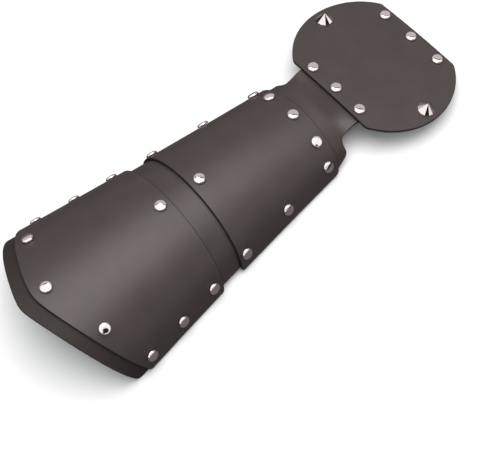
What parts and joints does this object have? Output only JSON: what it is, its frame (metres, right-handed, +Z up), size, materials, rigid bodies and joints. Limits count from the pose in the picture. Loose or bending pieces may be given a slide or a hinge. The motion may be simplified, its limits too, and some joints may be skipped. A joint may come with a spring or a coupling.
{
  "type": "leather bracer",
  "caption": "Leather forearm bracer: a half sleeve under two curved plates, with a hand plate on a tongue, chrome dome rivets, pointed cones and plain closing straps.",
  "frame": {"origin": "on the table, below the middle of the bracer's length, on its centre line", "axes": "+X from the elbow end to the fingers, +Y to the left side seen from the elbow, +Z up, the table at z = 0"},
  "size_m": [0.3834, 0.1486, 0.0628],
  "materials": {
    "dark_leather": "smooth satin dark brown-grey leather with dark cut edges",
    "strap_leather": "smooth satin dark brown-grey strap leather",
    "rivet_chrome": "polished, domed",
    "cone_chrome": "polished, flat facets"
  },
  "bodies": {
    "root": {"base_sleeve": "dark_leather", "forearm_plate": "dark_leather", "wrist_plate": "dark_leather", "hand_plate": "dark_leather", "elbow_strap": "strap_leather", "wrist_strap": "strap_leather", "forearm_rivet_elbow_peak": "rivet_chrome", "forearm_rivet_elbow_mid_left": "rivet_chrome", "forearm_rivet_elbow_mid_right": "rivet_chrome", "forearm_rivet_elbow_corner_left": "rivet_chrome", "forearm_rivet_elbow_corner_right": "rivet_chrome", "forearm_rivet_side_left": "rivet_chrome", "forearm_rivet_side_right": "rivet_chrome", "forearm_rivet_seam_corner_left": "rivet_chrome", "forearm_rivet_seam_corner_right": "rivet_chrome", "forearm_rivet_seam_centre": "rivet_chrome", "wrist_rivet_seam_centre": "rivet_chrome", "wrist_rivet_seam_corner_left": "rivet_chrome", "wrist_rivet_seam_corner_right": "rivet_chrome", "wrist_rivet_side_left": "rivet_chrome", "wrist_rivet_side_right": "rivet_chrome", "wrist_rivet_cuff_corner_left": "rivet_chrome", "wrist_rivet_cuff_corner_right": "rivet_chrome", "wrist_rivet_cuff_mid_left": "rivet_chrome", "wrist_rivet_cuff_mid_right": "rivet_chrome", "wrist_rivet_cuff_centre": "rivet_chrome", "hand_rivet_back_centre": "rivet_chrome", "hand_rivet_back_corner_left": "rivet_chrome", "hand_rivet_back_corner_right": "rivet_chrome", "hand_rivet_front_centre": "rivet_chrome", "hand_rivet_front_corner_left": "rivet_chrome", "hand_rivet_front_corner_right": "rivet_chrome", "hand_cone_left": "cone_chrome", "hand_cone_right": "cone_chrome"}
  },
  "joints": []
}
